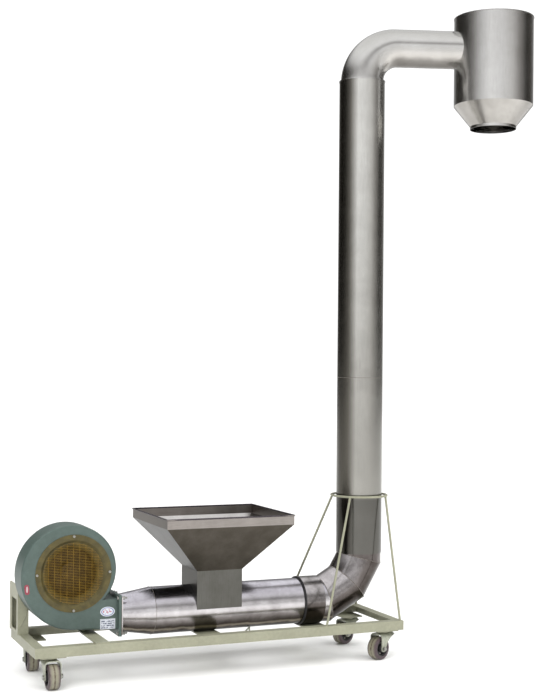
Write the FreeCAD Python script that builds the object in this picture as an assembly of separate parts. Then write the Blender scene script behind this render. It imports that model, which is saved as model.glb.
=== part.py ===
import FreeCAD, Part
import math
import os

V = FreeCAD.Vector

# ---- trolley frame: welded angle iron on four swivel casters ----
frame_length = 1640.0
frame_depth = 456.0
angle_leg = 40.0
angle_wall = 4.0
angle_root = 4.0
wheel_headroom = 30.0
crossbar_thick = 5.0
fan_crossbar_width = 57.0
fan_crossbar_x = 245.0
neck_crossbar_x = 732.0
neck_crossbar_width = 98.0
elbow_crossbar_gap = 1.0
elbow_crossbar_width = 106.0

# ---- casters ----
caster_inset_x = 75.0
caster_inset_y = 54.0
plate_length = 105.0
plate_width = 105.0
plate_thick = 4.0
wheel_radius = 50.0
wheel_width = 48.0
wheel_round = 8.0
tread_thick = 17.0
hub_side_gap = 1.0
hub_radius = 16.0
caster_trail = 30.0
fork_thick = 4.0
wheel_side_gap = 6.0
fork_half_top = 44.0
fork_nose = 14.0
axle_radius = 5.0
kingpin_radius = 6.0
turn_front_left = 270.0
turn_front_right = 202.0
turn_back_left = 265.0
turn_back_right = 200.0

# ---- duct, elbow and riser ----
duct_radius = 100.0
duct_wall = 1.5
duct_sink = 22.0
tube_start_x = 540.0
tube_end_x = 1228.0
gasket_width = 7.0
collar_length = 90.0
collar_wall = 2.5
collar_gap = 3.5
riser_x = 1530.0
gore_lower_length = 138.0
gore_upper_length = 124.0
elbow_step = 30.0
stub_above_mitre = 50.0
socket_depth = 50.0
riser_wall = 2.5
riser_seam_z = 1240.0
riser_top_z = 2578.0

# ---- hopper ----
hopper_x = 820.0
hopper_length = 566.0
hopper_depth = 480.0
hopper_lift = 409.0
hopper_band = 40.0
hopper_wall = 2.0
hopper_bead = 3.0
neck_length = 204.0
neck_lift = 170.0
neck_inset = 0.3
nozzle_start_x = 562.0
nozzle_length = 135.0
nozzle_mouth = 62.0

# ---- riser guard ring and stays ----
ring_z = 708.0
ring_clearance = 17.2
rod_radius = 5.0
stay_front_x = 1271.0
stay_back_x = 1255.0
stay_edge = 12.0

# ---- discharge head ----
head_turn = -18.0
spigot_clearance = 3.3
arm_radius = 84.5
bend_radius = 156.0
spigot_depth = 70.0
stop_ring_height = 4.0
head_radius = 180.0
head_reach = 607.0
head_rise = 145.7
head_shell_height = 397.0
head_cone_height = 94.0
head_mouth_radius = 105.0
head_lip = 12.0
head_wall = 2.0

# ---- blower ----
fan_x = 194.0
fan_lift = 184.0
volute_width = 130.0
volute_wall = 5.0
volute_start = 181.0
volute_growth = 17.3
volute_round = 9.0
tongue_drop = 116.0
cover_thick = 5.0
flange_x = 382.0
flange_thick = 12.0
flange_rim = 20.0
flange_bolt_edge = 12.0
bolt_radius = 4.0
bolt_clearance = 0.5
gasket_thick = 2.0
gasket_margin = 4.0
reducer_flange_thick = 4.0
reducer_start_radius = 77.5
eye_radius = 138.0
guard_radius = 159.0
guard_sheet = 2.5
guard_step_radius = 137.0
guard_seat_radius = 127.0
guard_lip_radius = 120.0
guard_bell_radius = 100.0
guard_screw_circle = 152.0
mesh_wire = 0.8
mesh_pitch = 6.5
impeller_radius = 150.0
impeller_sheet = 3.0
shroud_eye = 106.0
shroud_setback = 22.0
blade_count = 12
blade_inner = 88.0
hub_outer = 32.0

# ---- motor ----
shaft_radius = 12.0
shaft_fit = 0.05
motor_shaft_height = 90.0
stator_radius = 78.0
fin_height = 9.0
fin_count = 28
fin_thick = 2.5
rotor_radius = 45.0
air_gap = 0.6
bearing_radius = 26.0
bearing_width = 15.0
motor_flange_radius = 100.0
stator_length = 185.0
shield_depth = 22.0
fan_cover_length = 72.0
foot_spacing_x = 140.0
foot_spacing_y = 100.0
foot_setback = 95.0
foot_width = 34.0
foot_thick = 11.0
stand_sheet = 4.0
stand_depth = 161.0
stand_plate_back = 11.0
stand_flange = 45.0
stand_upstand = 30.0
stand_corner = 12.0
stand_left_x = -7.0
stand_right_x = 300.0
running_gap = 0.3

# ---- derived places ----
caster_height = 2.0 * wheel_radius + wheel_headroom
core_radius = wheel_radius - tread_thick
fork_gap = wheel_width + 2.0 * wheel_side_gap
hub_length = fork_gap - 2.0 * hub_side_gap
frame_top = caster_height + angle_leg
mid_y = frame_depth / 2.0
duct_axis_z = frame_top + duct_radius - duct_sink
fan_z = duct_axis_z + fan_lift
hopper_top_z = duct_axis_z + hopper_lift
neck_top_z = duct_axis_z + neck_lift
elbow_crossbar_x = tube_end_x + elbow_crossbar_gap
flange_size = volute_width + 2.0 * flange_rim
flange_bolt_half = flange_size / 2.0 - flange_bolt_edge
duct_rest_z = duct_axis_z - duct_radius - 0.1
collar_rest_z = duct_rest_z - collar_gap - collar_wall
volute_front = mid_y - volute_width / 2.0
volute_back = mid_y + volute_width / 2.0
cover_front = volute_back - cover_thick
elbow_mitre_x = (riser_x - gore_upper_length * math.cos(math.radians(2 * elbow_step))
                 - gore_lower_length * math.cos(math.radians(elbow_step)))
elbow_mid = V(elbow_mitre_x + gore_lower_length * math.cos(math.radians(elbow_step)), mid_y,
              duct_axis_z + gore_lower_length * math.sin(math.radians(elbow_step)))
elbow_top_z = elbow_mid.z + gore_upper_length * math.sin(math.radians(2 * elbow_step))
elbow_stub = duct_radius * math.tan(math.radians(elbow_step / 2.0)) + stub_above_mitre
riser_inner = duct_radius + running_gap
riser_outer = riser_inner + riser_wall
spigot_radius = riser_inner - spigot_clearance
ring_radius = riser_outer + ring_clearance + rod_radius
riser_base_z = elbow_top_z + elbow_stub - socket_depth
head_base_z = riser_top_z + running_gap
bend_start_z = head_base_z + stop_ring_height
arm_z = bend_start_z + bend_radius
head_top_z = arm_z + head_rise
head_crease_z = head_top_z - head_shell_height
head_mouth_z = head_crease_z - head_cone_height
cone_flange_x = flange_x + flange_thick + gasket_thick
stator_front = volute_back + 10.0 + shield_depth
stator_back = stator_front + stator_length
shaft_front = cover_front - 52.0
shaft_back = stator_back + shield_depth + 42.0
stand_top = fan_z - motor_shaft_height
foot_y = volute_back + foot_setback
caster_places = {
    "front_left": (caster_inset_x, caster_inset_y, turn_front_left),
    "front_right": (frame_length - caster_inset_x, caster_inset_y, turn_front_right),
    "back_left": (caster_inset_x, frame_depth - caster_inset_y, turn_back_left),
    "back_right": (frame_length - caster_inset_x, frame_depth - caster_inset_y, turn_back_right),
}
x_axis, y_axis, z_axis = V(1, 0, 0), V(0, 1, 0), V(0, 0, 1)


# ---- small makers ----
def block(x0, x1, y0, y1, z0, z1):
    return Part.makeBox(x1 - x0, y1 - y0, z1 - z0, V(x0, y0, z0))


def rod(radius, start, end):
    run = end.sub(start)
    return Part.makeCylinder(radius, run.Length, start, run)


def pipe(outer, inner, start, end):
    return rod(outer, start, end).cut(rod(inner, start, end))


def slab(points, depth):
    """Extrude the closed outline through the vector depth."""
    return Part.Face(Part.makePolygon(points + [points[0]])).extrude(depth)


def spun(points, base, axis):
    """Turn the closed outline a full round about an axis."""
    return Part.Face(Part.makePolygon(points + [points[0]])).revolve(base, axis, 360)


def turned(shape, centre, axis, angle):
    copy = shape.copy()
    copy.rotate(centre, axis, angle)
    return copy


def rounded(shape, radius, chosen):
    """Fillet the edges for which chosen(edge) is true."""
    edges = [edge for edge in shape.Edges if chosen(edge)]
    return shape.makeFillet(radius, edges) if edges else shape


def runs_along(edge, axis):
    if len(edge.Vertexes) < 2 or edge.Curve.TypeId != "Part::GeomLine":
        return False
    run = edge.Vertexes[-1].Point.sub(edge.Vertexes[0].Point)
    return abs(run.normalize().dot(axis)) > 0.999


def hexagon(across, height, centre, axis):
    """A hexagon head or nut that grows from centre along axis."""
    radius = across / math.sqrt(3.0)
    side = z_axis if abs(axis.dot(z_axis)) < 0.9 else x_axis
    other = axis.cross(side)
    corners = []
    for step in range(6):
        angle = math.radians(60 * step)
        corners.append(centre + side * (radius * math.cos(angle)) + other * (radius * math.sin(angle)))
    return slab(corners, axis * height)


# ---- trolley ----
def angle_bar(length):
    """Angle iron along +X: top face at z = 0, leg hanging at y = 0."""
    outline = [V(0, 0, -angle_leg), V(0, angle_wall, -angle_leg), V(0, angle_wall, -angle_wall),
               V(0, angle_leg, -angle_wall), V(0, angle_leg, 0), V(0, 0, 0)]
    bar = slab(outline, V(length, 0, 0))

    def is_root(edge):
        middle = edge.BoundBox.Center
        return (runs_along(edge, x_axis) and abs(middle.y - angle_wall) < 0.01
                and abs(middle.z + angle_wall) < 0.01)

    def is_heel(edge):
        middle = edge.BoundBox.Center
        return runs_along(edge, x_axis) and abs(middle.y) < 0.01 and abs(middle.z) < 0.01

    bar = rounded(bar, angle_root, is_root)
    return rounded(bar, angle_wall * 0.4, is_heel)


def frame_rails():
    front = angle_bar(frame_length)
    front.translate(V(0, 0, frame_top))
    back = turned(angle_bar(frame_length), V(0, 0, 0), z_axis, 180)
    back.translate(V(frame_length, frame_depth, frame_top))
    inner = frame_depth - 2 * angle_wall
    left = turned(angle_bar(inner), V(0, 0, 0), z_axis, -90)
    left.translate(V(0, frame_depth - angle_wall, frame_top))
    right = turned(angle_bar(inner), V(0, 0, 0), z_axis, 90)
    right.translate(V(frame_length, angle_wall, frame_top))
    left = left.cut(front).cut(back)
    right = right.cut(front).cut(back)
    return {"frame_front_rail": front, "frame_back_rail": back,
            "frame_left_rail": left, "frame_right_rail": right}


def crossbars():
    fan_bar = block(fan_crossbar_x, fan_crossbar_x + fan_crossbar_width,
                    angle_wall, frame_depth - angle_wall, frame_top, frame_top + crossbar_thick)
    neck_bar = block(neck_crossbar_x, neck_crossbar_x + neck_crossbar_width, angle_wall,
                     frame_depth - angle_wall, duct_rest_z - crossbar_thick, duct_rest_z)
    elbow_bar = block(elbow_crossbar_x, elbow_crossbar_x + elbow_crossbar_width, angle_wall,
                      frame_depth - angle_wall, collar_rest_z - crossbar_thick, collar_rest_z)
    return {"fan_crossbar": fan_bar, "duct_crossbars": Part.makeCompound([neck_bar, elbow_bar])}


def caster_plates():
    """Top plate, ball race and riveted kingpin of each caster, fixed to the frame."""
    solids = []
    race_low = caster_height - plate_thick - 11.5
    crown_low = race_low - running_gap - fork_thick
    for x, y, _ in caster_places.values():
        plate = block(x - plate_length / 2, x + plate_length / 2, y - plate_width / 2, y + plate_width / 2,
                      caster_height - plate_thick, caster_height)
        plate = rounded(plate, 6.0, lambda edge: runs_along(edge, z_axis))
        race = Part.makeCone(24.0, 31.0, 11.5, V(x, y, race_low), z_axis)
        pin = rod(kingpin_radius, V(x, y, crown_low - 6.0), V(x, y, race_low))
        nut = hexagon(19.0, 6.0, V(x, y, crown_low - running_gap - 6.0), z_axis)
        solids.append(plate.fuse(race).fuse(pin).fuse(nut).removeSplitter())
    return Part.makeCompound(solids)


def fork_outline(crown_top, y):
    """Side view of the fork: broad crown, concave trailing edge, round nose at the axle."""
    low = crown_top - 9.0
    front_side = V(caster_trail - fork_nose, y, wheel_radius)
    back_side = V(caster_trail + fork_nose, y, wheel_radius)
    crown = [V(-fork_half_top, y, low), V(-fork_half_top, y, crown_top),
             V(fork_half_top, y, crown_top), V(fork_half_top, y, low)]
    waist = V((front_side.x - fork_half_top) / 2.0 + 10.0, y, (low + wheel_radius) / 2.0 + 8.0)
    heel = V((back_side.x + fork_half_top) / 2.0 - 1.5, y, (low + wheel_radius) / 2.0)
    tip = V(caster_trail, y, wheel_radius - fork_nose)
    edges = [Part.Arc(front_side, waist, crown[0]).toShape(), Part.makeLine(crown[0], crown[1]),
             Part.makeLine(crown[1], crown[2]), Part.makeLine(crown[2], crown[3]),
             Part.Arc(crown[3], heel, back_side).toShape(), Part.Arc(back_side, tip, front_side).toShape()]
    return Part.Face(Part.Wire(edges))


def caster_fork():
    """Fork about a pivot at the origin, trailing towards +X."""
    crown_top = caster_height - plate_thick - 11.5 - running_gap
    outer = fork_gap / 2.0 + fork_thick
    saddle = block(-60, 90, -outer, outer, 20, crown_top)
    saddle = rounded(saddle, 18.0, lambda e: runs_along(e, x_axis) and e.BoundBox.ZMin > crown_top - 1)
    hollow = block(-70, 95, -fork_gap / 2, fork_gap / 2, 0, crown_top - fork_thick)
    hollow = rounded(hollow, 14.0, lambda e: runs_along(e, x_axis) and e.BoundBox.ZMin > 50)
    side = fork_outline(crown_top, -outer).extrude(V(0, 2 * outer, 0))
    fork = saddle.cut(hollow).common(side)
    fork = fork.cut(rod(kingpin_radius + shaft_fit, V(0, 0, 0), V(0, 0, caster_height)))
    bore = rod(axle_radius, V(caster_trail, -outer - 1, wheel_radius), V(caster_trail, outer + 1, wheel_radius))
    return fork.cut(bore).removeSplitter()


def caster_axle():
    outer = fork_gap / 2.0 + fork_thick
    y_head, y_nut = -outer, outer
    shank = rod(axle_radius, V(caster_trail, y_head, wheel_radius), V(caster_trail, y_nut + 9, wheel_radius))
    head = hexagon(17.0, 6.0, V(caster_trail, y_head, wheel_radius), V(0, -1, 0))
    nut = hexagon(17.0, 7.5, V(caster_trail, y_nut, wheel_radius), y_axis)
    return shank.fuse(head).fuse(nut).removeSplitter()


def caster_wheel():
    """Tread ring and spoked core, as two solids."""
    centre = V(caster_trail, 0, wheel_radius)
    half = wheel_width / 2.0
    tread = pipe(wheel_radius, core_radius, centre - y_axis * half, centre + y_axis * half)
    tread = rounded(tread, wheel_round, lambda e: e.BoundBox.ZLength > 1.9 * wheel_radius
                    and abs(e.BoundBox.Center.y) > half - 0.1)
    groove = pipe(wheel_radius + 5, wheel_radius - 0.8, centre - y_axis * 0.8, centre + y_axis * 0.8)
    tread = tread.cut(groove)
    core = rod(core_radius, centre - y_axis * (half - 3), centre + y_axis * (half - 3))
    for sign in (-1, 1):
        dish_start = centre + y_axis * (sign * 7.0)
        core = core.cut(pipe(core_radius - 4, hub_radius, dish_start, dish_start + y_axis * (sign * half)))
    core = core.fuse(rod(hub_radius, centre - y_axis * (hub_length / 2), centre + y_axis * (hub_length / 2)))
    reach = V(0, hub_length, 0)
    core = core.cut(rod(axle_radius + shaft_fit, centre - reach, centre + reach)).removeSplitter()
    return Part.makeCompound([tread, core])


def place_caster(shape, place):
    x, y, turn = place
    moved = turned(shape, V(0, 0, 0), z_axis, turn)
    moved.translate(V(x, y, 0))
    return moved


def casters():
    parts = {"caster_plates": caster_plates()}
    for name, place in caster_places.items():
        parts["caster_fork_" + name] = place_caster(caster_fork(), place)
        parts["caster_axle_" + name] = place_caster(caster_axle(), place)
        parts["caster_wheel_" + name] = place_caster(caster_wheel(), place)
    return parts


# ---- blower ----
def volute_radius(angle, inset):
    """Radius of the spiral at an angle in degrees, drawn in by inset."""
    return volute_start + volute_growth * angle / 90.0 - inset


def volute_outline(inset, x_end, y):
    """Closed face of the volute in the plane y: spiral, floor and roof of the outlet duct."""
    drop = tongue_drop + inset
    start = -45.0
    for _ in range(20):
        start = -math.degrees(math.asin(drop / volute_radius(start, inset)))
    count = 24
    points = []
    for step in range(count + 1):
        angle = start + (270.0 - start) * step / count
        radius = volute_radius(angle, inset)
        turn = math.radians(angle)
        points.append(V(fan_x + radius * math.cos(turn), y, fan_z + radius * math.sin(turn)))
    curve = Part.BSplineCurve()
    curve.interpolate(points)
    fall = volute_growth / math.radians(90.0) / volute_radius(270.0, inset)
    floor_end = V(x_end, y, points[-1].z - fall * (x_end - fan_x))
    roof_end = V(x_end, y, points[0].z)
    edges = [curve.toShape(), Part.makeLine(points[-1], floor_end),
             Part.makeLine(floor_end, roof_end), Part.makeLine(roof_end, points[0])]
    return Part.Face(Part.Wire(edges))


def bolt_places():
    for dy in (-flange_bolt_half, flange_bolt_half):
        for dz in (-flange_bolt_half, flange_bolt_half):
            yield mid_y + dy, duct_axis_z + dz


def square_plate(x0, thick, size, bolt_hole):
    plate = block(x0, x0 + thick, mid_y - size / 2, mid_y + size / 2,
                  duct_axis_z - size / 2, duct_axis_z + size / 2)
    plate = rounded(plate, 5.0, lambda e: runs_along(e, x_axis))
    for y, z in bolt_places():
        plate = plate.cut(rod(bolt_hole, V(x0 - 1, y, z), V(x0 + thick + 1, y, z)))
    return plate


def volute_casing():
    depth = cover_front - volute_front
    body = volute_outline(0.0, flange_x, volute_front).extrude(V(0, depth, 0))

    def front_edge(edge):
        box = edge.BoundBox
        on_front = box.YMax < volute_front + 0.01
        return on_front and box.XMax < flange_x - 0.01 or on_front and box.XLength > 100

    body = rounded(body, volute_round, front_edge)
    reach = flange_x + flange_thick + 5.0
    hollow = volute_outline(volute_wall, reach, volute_front + volute_wall).extrude(V(0, depth, 0))
    hollow = rounded(hollow, volute_round - volute_wall,
                     lambda e: e.BoundBox.YMax < volute_front + volute_wall + 0.01 and e.BoundBox.XLength > 60)
    flange = square_plate(flange_x, flange_thick, flange_size, bolt_radius + bolt_clearance)
    casing = body.fuse(flange).cut(hollow)
    eye = rod(eye_radius, V(fan_x, volute_front - 1, fan_z), V(fan_x, volute_front + volute_wall + 1, fan_z))
    casing = casing.cut(eye)
    for x, z in guard_screw_places():
        casing = casing.cut(rod(2.5, V(x, volute_front - 1, z), V(x, volute_front + volute_wall + 6, z)))
    return casing.removeSplitter()


def volute_back_cover():
    cover = volute_outline(0.0, flange_x - 0.1, cover_front).extrude(V(0, cover_thick, 0))
    return cover.cut(rod(shaft_radius + 4, V(fan_x, cover_front - 1, fan_z), V(fan_x, volute_back + 1, fan_z)))


def guard_screw_places():
    for step in range(4):
        angle = math.radians(90 * step)
        yield fan_x + guard_screw_circle * math.cos(angle), fan_z + guard_screw_circle * math.sin(angle)


def inlet_ring():
    """Spun inlet ring: flat flange, stepped seat for the mesh and a bell lip into the impeller eye."""
    face = volute_front - guard_sheet
    front = [(guard_radius, face), (guard_step_radius, face), (guard_seat_radius, face + 9),
             (guard_lip_radius, face + 9), (guard_bell_radius + 8, face + 16), (guard_bell_radius, face + 27)]
    points = [V(fan_x + r, y, fan_z) for r, y in front]
    points += [V(fan_x + r + (guard_sheet if i == 0 else 0), y + guard_sheet, fan_z)
               for i, (r, y) in enumerate(reversed(front))]
    ring = spun(points, V(fan_x, 0, fan_z), y_axis)
    for x, z in guard_screw_places():
        ring = ring.cut(rod(2.8, V(x, face - 1, z), V(x, volute_front + 1, z)))
    return ring


def inlet_mesh():
    """Guard mesh: level wires in front, upright wires behind, inside the ring's seat."""
    seat_y = volute_front - guard_sheet + 9
    reach = guard_seat_radius - 1.5
    wires = []
    count = int(reach / mesh_pitch)
    for step in range(-count, count + 1):
        offset = step * mesh_pitch
        half = math.sqrt(reach * reach - offset * offset)
        front, behind = seat_y - 3.2 * mesh_wire, seat_y - 1.1 * mesh_wire
        wires.append(rod(mesh_wire, V(fan_x - half, front, fan_z + offset), V(fan_x + half, front, fan_z + offset)))
        if step % 4 == 0:
            wires.append(rod(mesh_wire, V(fan_x + offset, behind, fan_z - half),
                             V(fan_x + offset, behind, fan_z + half)))
    return Part.makeCompound(wires)


def guard_screws():
    solids = []
    face = volute_front - guard_sheet
    for x, z in guard_screw_places():
        shank = rod(2.5, V(x, face, z), V(x, volute_front + volute_wall, z))
        head = rounded(rod(5.5, V(x, face - 3.5, z), V(x, face, z)), 1.5,
                       lambda e: e.BoundBox.YMax < face - 3.4)
        solids.append(shank.fuse(head).removeSplitter())
    return Part.makeCompound(solids)


def volute_labels():
    """Rotation pill, oval plate and rectangular rating plate, stuck on the front of the volute."""
    front = volute_front
    deep = V(0, 1.0, 0)
    pill = block(fan_x - 202, fan_x - 183, front - 1, front, fan_z - 76, fan_z - 35)
    pill = rounded(pill, 9.0, lambda e: runs_along(e, y_axis))
    pill = turned(pill, V(fan_x - 192, front, fan_z - 55), y_axis, -6)
    oval = Part.Ellipse(V(fan_x + 144, front - 1, duct_axis_z + 19), 31, 20)
    oval.Axis = y_axis
    oval = Part.Face(Part.Wire(oval.toShape())).extrude(deep)
    plate = block(fan_x + 113, fan_x + 177, front - 1, front, duct_axis_z - 53, duct_axis_z - 11)
    return Part.makeCompound([pill, oval, plate])


def impeller():
    """Backplate, front shroud and curved blades, welded as one wheel."""
    rear = cover_front - 10.0
    front = volute_front + volute_wall + shroud_setback
    centre_rear = V(fan_x, rear, fan_z)
    wheel = pipe(impeller_radius, shaft_radius + 6, centre_rear - y_axis * impeller_sheet, centre_rear)
    eye = V(fan_x, front, fan_z)
    wheel = wheel.fuse(pipe(impeller_radius, shroud_eye, eye, eye + y_axis * impeller_sheet))
    depth = rear - front - impeller_sheet
    bow = 95.0
    for step in range(blade_count):
        outer_arc = blade_arc(bow, front + impeller_sheet / 2)
        inner_arc = blade_arc(bow - impeller_sheet, front + impeller_sheet / 2)
        ends = [Part.makeLine(outer_arc.Vertexes[i].Point, inner_arc.Vertexes[i].Point) for i in (0, -1)]
        face = Part.Face(Part.Wire(Part.__sortEdges__([outer_arc, ends[1], inner_arc, ends[0]])))
        blade = turned(face.extrude(V(0, depth, 0)), V(fan_x, 0, fan_z), y_axis, 360.0 * step / blade_count)
        wheel = wheel.fuse(blade)
    return wheel.fuse(impeller_hub()).removeSplitter()


def blade_arc(bow, y):
    """One edge of a blade, bowed about a centre that lies beside the wheel's radius."""
    middle = (blade_inner + impeller_radius) / 2.0
    centre = V(fan_x + middle + 40.0, y, fan_z - 80.0)
    low, mid, high = 98.0, 113.0, 128.0
    points = [centre + V(bow * math.cos(math.radians(a)), 0, bow * math.sin(math.radians(a)))
              for a in (low, mid, high)]
    return Part.Arc(*points).toShape()


def impeller_hub():
    rear = cover_front - 10.0
    back = V(fan_x, rear, fan_z)
    hub = pipe(hub_outer, shaft_radius, V(fan_x, shaft_front, fan_z), V(fan_x, rear - impeller_sheet, fan_z))
    disc = pipe(shaft_radius + 6, shaft_radius, back - y_axis * impeller_sheet, back + y_axis * 4)
    return hub.fuse(disc).removeSplitter()


# ---- motor ----
def motor_axis(y):
    return V(fan_x, y, fan_z)


def motor_shaft():
    shaft = rod(shaft_radius, motor_axis(shaft_front - 8), motor_axis(shaft_back))
    core_start = stator_front + 22
    core = rod(rotor_radius, motor_axis(core_start), motor_axis(stator_back - 22))
    nut = hexagon(30.0, 8.0, motor_axis(shaft_front - 8), y_axis)
    return shaft.fuse(core).fuse(nut).removeSplitter()


def motor_frame():
    frame = rod(stator_radius, motor_axis(stator_front), motor_axis(stator_back))
    for step in range(fin_count):
        fin = block(fan_x - fin_thick / 2, fan_x + fin_thick / 2, stator_front, stator_back,
                    fan_z + stator_radius - 2, fan_z + stator_radius + fin_height)
        angle = 360.0 * (step + 0.5) / fin_count
        if abs((angle + 180) % 360 - 180) > 26:
            frame = frame.fuse(turned(fin, motor_axis(0), y_axis, angle))
    pad_top = fan_z + stator_radius + fin_height + 4
    frame = frame.fuse(block(fan_x - 38, fan_x + 38, foot_y - 40, foot_y + 40, fan_z, pad_top))
    half_y = foot_spacing_y / 2 + 13
    for sign in (-1, 1):
        middle = fan_x + sign * foot_spacing_x / 2
        inner, outer = middle - foot_width / 2, middle + foot_width / 2
        frame = frame.fuse(block(inner, outer, foot_y - half_y, foot_y + half_y, stand_top, stand_top + foot_thick))
        web = fan_x + sign * 52
        frame = frame.fuse(block(web - 4, web + 4, foot_y - half_y, foot_y + half_y, stand_top, fan_z - 20))
    bore = rotor_radius + air_gap
    frame = frame.cut(rod(bore, motor_axis(stator_front - 1), motor_axis(stator_back + 1)))
    for x, y in foot_bolt_places():
        frame = frame.cut(rod(4.5, V(x, y, stand_top - 1), V(x, y, stand_top + foot_thick + 1)))
    return frame.removeSplitter()


def foot_bolt_places():
    for sx in (-1, 1):
        for sy in (-1, 1):
            yield fan_x + sx * foot_spacing_x / 2, foot_y + sy * foot_spacing_y / 2


def motor_end_shields():
    """Flanged drive-end shield and plain rear shield, each with its bearing seat."""
    seat = 4.0
    front = rod(motor_flange_radius, motor_axis(volute_back), motor_axis(volute_back + 10))
    front = front.fuse(rod(stator_radius + 3, motor_axis(volute_back + 10), motor_axis(stator_front)))
    front = front.cut(rod(shaft_radius + 2, motor_axis(volute_back - 1), motor_axis(stator_front + 1)))
    front = front.cut(rod(bearing_radius, motor_axis(volute_back + seat), motor_axis(stator_front + 1)))
    rear_end = stator_back + shield_depth
    rear = rod(stator_radius + 3, motor_axis(stator_back), motor_axis(rear_end))
    rear = rounded(rear, 5.0, lambda e: e.BoundBox.YMin > rear_end - 0.1)
    rear = rear.cut(rod(shaft_radius + 2, motor_axis(stator_back - 1), motor_axis(rear_end + 1)))
    rear = rear.cut(rod(bearing_radius, motor_axis(stator_back - 1), motor_axis(rear_end - seat)))
    return Part.makeCompound([front.removeSplitter(), rear.removeSplitter()])


def motor_bearings():
    solids = []
    for start in (volute_back + 4.0, stator_back + shield_depth - 4.0 - bearing_width):
        solids.append(pipe(bearing_radius, shaft_radius + shaft_fit, motor_axis(start),
                           motor_axis(start + bearing_width)))
    return Part.makeCompound(solids)


def motor_fan():
    start = stator_back + shield_depth + 8
    fan = pipe(20, shaft_radius, motor_axis(start), motor_axis(start + 30))
    fan = fan.fuse(pipe(64, 18, motor_axis(start), motor_axis(start + 3)))
    for step in range(8):
        blade = block(fan_x + 18, fan_x + 64, start + 1, start + 28, fan_z - 1.5, fan_z + 1.5)
        fan = fan.fuse(turned(blade, motor_axis(0), y_axis, 45 * step))
    return fan.removeSplitter()


def motor_fan_cover():
    start = stator_back + 8
    end = start + fan_cover_length
    outer = stator_radius + 3 + running_gap + 1.6
    cover = rod(outer, motor_axis(start), motor_axis(end))
    cover = rounded(cover, 8.0, lambda e: e.BoundBox.YMin > end - 0.1)
    hollow = rod(outer - 1.6, motor_axis(start - 1), motor_axis(end - 1.6))
    hollow = rounded(hollow, 6.4, lambda e: e.BoundBox.YMin > end - 1.7)
    cover = cover.cut(hollow)
    for ring in range(3):
        circle = 22.0 + 17.0 * ring
        count = 8 + 7 * ring
        for step in range(count):
            angle = 2 * math.pi * step / count
            spot = V(fan_x + circle * math.cos(angle), end - 5, fan_z + circle * math.sin(angle))
            cover = cover.cut(rod(5.0, spot, spot + y_axis * 10))
    return cover


def terminal_box():
    low = fan_z + stator_radius + fin_height + 4
    box = block(fan_x - 48, fan_x + 48, foot_y - 48, foot_y + 48, low, low + 38)
    box = rounded(box, 8.0, lambda e: runs_along(e, z_axis))
    lid = block(fan_x - 51, fan_x + 51, foot_y - 51, foot_y + 51, low + 38, low + 46)
    lid = rounded(lid, 9.0, lambda e: runs_along(e, z_axis))
    lid = rounded(lid, 2.5, lambda e: e.BoundBox.ZMin > low + 45.9)
    for sx in (-1, 1):
        for sy in (-1, 1):
            spot = V(fan_x + sx * 40, foot_y + sy * 40, low + 46)
            lid = lid.fuse(rod(4.0, spot, spot + z_axis * 2.0))
    return box.fuse(lid).cut(gland_hole()).removeSplitter()


def gland_line():
    """Start and end of the cable gland, on the terminal box's -X side."""
    z = fan_z + stator_radius + fin_height + 4 + 19
    return V(fan_x - 48, foot_y, z), V(fan_x - 48 - 26, foot_y, z)


def gland_hole():
    start, end = gland_line()
    return rod(5.5, start + x_axis * 20, end - x_axis * 5)


def cable_gland():
    start, end = gland_line()
    gland = rod(9.0, start, start - x_axis * 6).fuse(hexagon(24.0, 9.0, start - x_axis * 3, x_axis * -1))
    dome = rounded(rod(11.0, start - x_axis * 12, end), 3.0, lambda e: e.BoundBox.XMax < end.x + 0.1)
    gland = gland.fuse(dome)
    return gland.cut(gland_hole()).removeSplitter()


def stand_leg(x_web, side):
    """Folded channel leg: a windowed web, front and back flanges below the plate, and a foot."""
    y0, y1 = volute_back, volute_back + stand_depth
    base = frame_top + (0.0 if side > 0 else crossbar_thick)
    under, top = stand_top - stand_sheet, stand_top + stand_upstand
    far, inner = x_web + side * stand_flange, x_web + side * stand_sheet
    leg = block(min(x_web, far), max(x_web, far), y0, y1, base, under)
    beyond = inner + side * 2 * stand_flange
    leg = leg.cut(block(min(inner, beyond), max(inner, beyond), y0 + stand_sheet, y1 - stand_sheet,
                        base + stand_sheet, under + 1))
    cheek = block(min(x_web, inner), max(x_web, inner), y0, y1, base, top)
    cheek = rounded(cheek, stand_corner,
                    lambda e: runs_along(e, x_axis) and e.BoundBox.ZMin > top - 1 and e.BoundBox.YMin > y1 - 1)
    leg = leg.fuse(cheek)
    window = block(x_web - 10, x_web + 10, y0 + 26, y1 - 34, base + 14, base + 142)
    window = rounded(window, 8.0, lambda e: runs_along(e, x_axis))
    return leg.cut(window).removeSplitter()


def motor_stand():
    legs = Part.makeCompound([stand_leg(stand_left_x, 1), stand_leg(stand_right_x, -1)])
    plate = block(stand_left_x + stand_sheet, stand_right_x - stand_sheet, volute_back + stand_plate_back,
                  volute_back + stand_depth, stand_top - stand_sheet, stand_top)
    for x, y in foot_bolt_places():
        plate = plate.cut(rod(4.5, V(x, y, stand_top - 20), V(x, y, stand_top + 20)))
    return {"motor_stand_legs": legs, "motor_stand_plate": plate}


def motor_foot_bolts():
    solids = []
    for x, y in foot_bolt_places():
        top = stand_top + foot_thick
        under = stand_top - stand_sheet
        bolt = rod(4.0, V(x, y, under - 10), V(x, y, top)).fuse(hexagon(13.0, 5.5, V(x, y, top), z_axis))
        solids.append(bolt.fuse(hexagon(13.0, 6.5, V(x, y, under), V(0, 0, -1))).removeSplitter())
    return Part.makeCompound(solids)


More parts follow.
